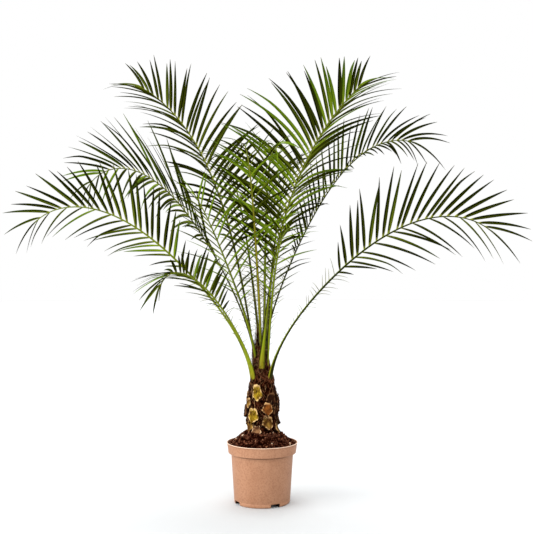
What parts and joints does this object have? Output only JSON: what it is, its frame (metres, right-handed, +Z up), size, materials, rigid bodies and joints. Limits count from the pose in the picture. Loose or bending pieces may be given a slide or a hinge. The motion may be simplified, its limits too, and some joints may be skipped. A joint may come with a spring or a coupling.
{
  "type": "potted pygmy date palm",
  "caption": "Young pygmy date palm with arching feather fronds on a short scarred trunk, growing in a round plastic nursery pot of soil.",
  "frame": {"origin": "centre of the pot's flat underside, on the pot's axis", "axes": "+Z up along the pot and trunk, X along the crown's widest spread with the longest fronds, -Y towards the viewer of the picture"},
  "size_m": [1.3151, 0.9199, 1.2097],
  "materials": {
    "pot_plastic": "matte",
    "soil": "matte",
    "trunk_bark": "matte",
    "sheath_fibre": "matte",
    "frond_green": "satin"
  },
  "bodies": {
    "root": {"pot": "pot_plastic", "soil": "soil", "trunk": "trunk_bark", "fibre_sheath": "sheath_fibre", "frond_left_long": "frond_green", "frond_left_low": "frond_green", "frond_left_arch": "frond_green", "frond_left_tall": "frond_green", "frond_left_front": "frond_green", "frond_centre_left": "frond_green", "frond_right_main": "frond_green", "frond_right_back": "frond_green", "frond_right_long": "frond_green", "frond_centre_front": "frond_green", "frond_centre_right": "frond_green", "frond_back": "frond_green", "frond_back_right": "frond_green"}
  },
  "joints": []
}
